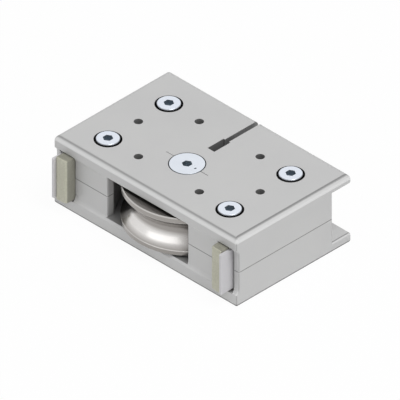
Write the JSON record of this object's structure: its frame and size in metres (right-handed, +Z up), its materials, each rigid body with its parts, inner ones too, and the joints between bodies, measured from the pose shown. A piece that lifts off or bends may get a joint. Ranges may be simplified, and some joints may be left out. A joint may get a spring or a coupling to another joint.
{
  "type": "guide rod roller bearing block",
  "caption": "Split aluminium bearing block with a grooved roller on an eccentric axle that runs along a round guide rod, with sprung felt wipers at both ends.",
  "frame": {"origin": "centre of the four-screw pattern, on the bottom face", "axes": "+X along the guide rod, towards the end that is on the right when seen from the rod; +Y away from the rod, towards the back; +Z up, along the roller's axis, towards the screw heads"},
  "size_m": [0.135, 0.0916, 0.0438],
  "materials": {
    "anodised_aluminium": "natural anodised, fine satin",
    "bright_zinc": "bright blue-white zinc plating",
    "roller_steel": "ground and polished bearing steel",
    "ring_steel": "ground bearing steel",
    "ball_steel": "polished bearing steel",
    "cage_polyamide": "moulded polyamide",
    "seal_rubber": "black nitrile rubber on a steel shield",
    "oiled_felt": "pressed wool felt, oiled",
    "wiper_plastic": "smooth pale plastic",
    "carrier_plastic": "moulded black plastic",
    "spring_steel": "cold-rolled strip"
  },
  "bodies": {
    "housing": {"upper_housing": "anodised_aluminium", "lower_housing": "anodised_aluminium", "cap_screw_front_left": "bright_zinc", "cap_screw_front_right": "bright_zinc", "cap_screw_back_left": "bright_zinc", "cap_screw_back_right": "bright_zinc", "dowel_pin_left": "ring_steel", "dowel_pin_right": "ring_steel", "pad_spring_left": "spring_steel", "pad_spring_right": "spring_steel"},
    "adjuster": {"eccentric_axle": "bright_zinc", "roller_inner_ring": "ring_steel"},
    "roller": {"roller_outer_ring": "roller_steel", "shield_upper": "seal_rubber", "shield_lower": "seal_rubber"},
    "ball_set": {"ball_row_upper": "ball_steel", "ball_row_lower": "ball_steel", "ball_cage_upper": "cage_polyamide", "ball_cage_lower": "cage_polyamide"},
    "left_wiper": {"felt_pad_left": "oiled_felt", "wiper_blade_left": "wiper_plastic", "pad_carrier_left": "carrier_plastic"},
    "right_wiper": {"felt_pad_right": "oiled_felt", "wiper_blade_right": "wiper_plastic", "pad_carrier_right": "carrier_plastic"}
  },
  "joints": [
    {"name": "eccentric_adjust", "type": "hinge", "parent": "housing", "child": "adjuster", "pos_m": [0, -0.009, 0.0215], "axis": [0, 0, 1], "range_deg": [-90, 90]},
    {"name": "roller_spin", "type": "hinge", "parent": "adjuster", "child": "roller", "pos_m": [0.0014, -0.009, 0.0215], "axis": [0, 0, 1], "continuous": true},
    {"name": "ball_orbit", "type": "hinge", "parent": "adjuster", "child": "ball_set", "pos_m": [0.0014, -0.009, 0.0215], "axis": [0, 0, 1], "continuous": true},
    {"name": "left_pad_press", "type": "slide", "parent": "housing", "child": "left_wiper", "axis": [0, 1, 0], "range_m": [0, 0.005], "stiffness_N_per_m": 400, "deforming": ["pad_spring_left"]},
    {"name": "right_pad_press", "type": "slide", "parent": "housing", "child": "right_wiper", "axis": [0, 1, 0], "range_m": [0, 0.005], "stiffness_N_per_m": 400, "deforming": ["pad_spring_right"]}
  ],
  "couplings": [
    {"joint": "ball_orbit", "follows": "roller_spin", "ratio": 0.58}
  ]
}
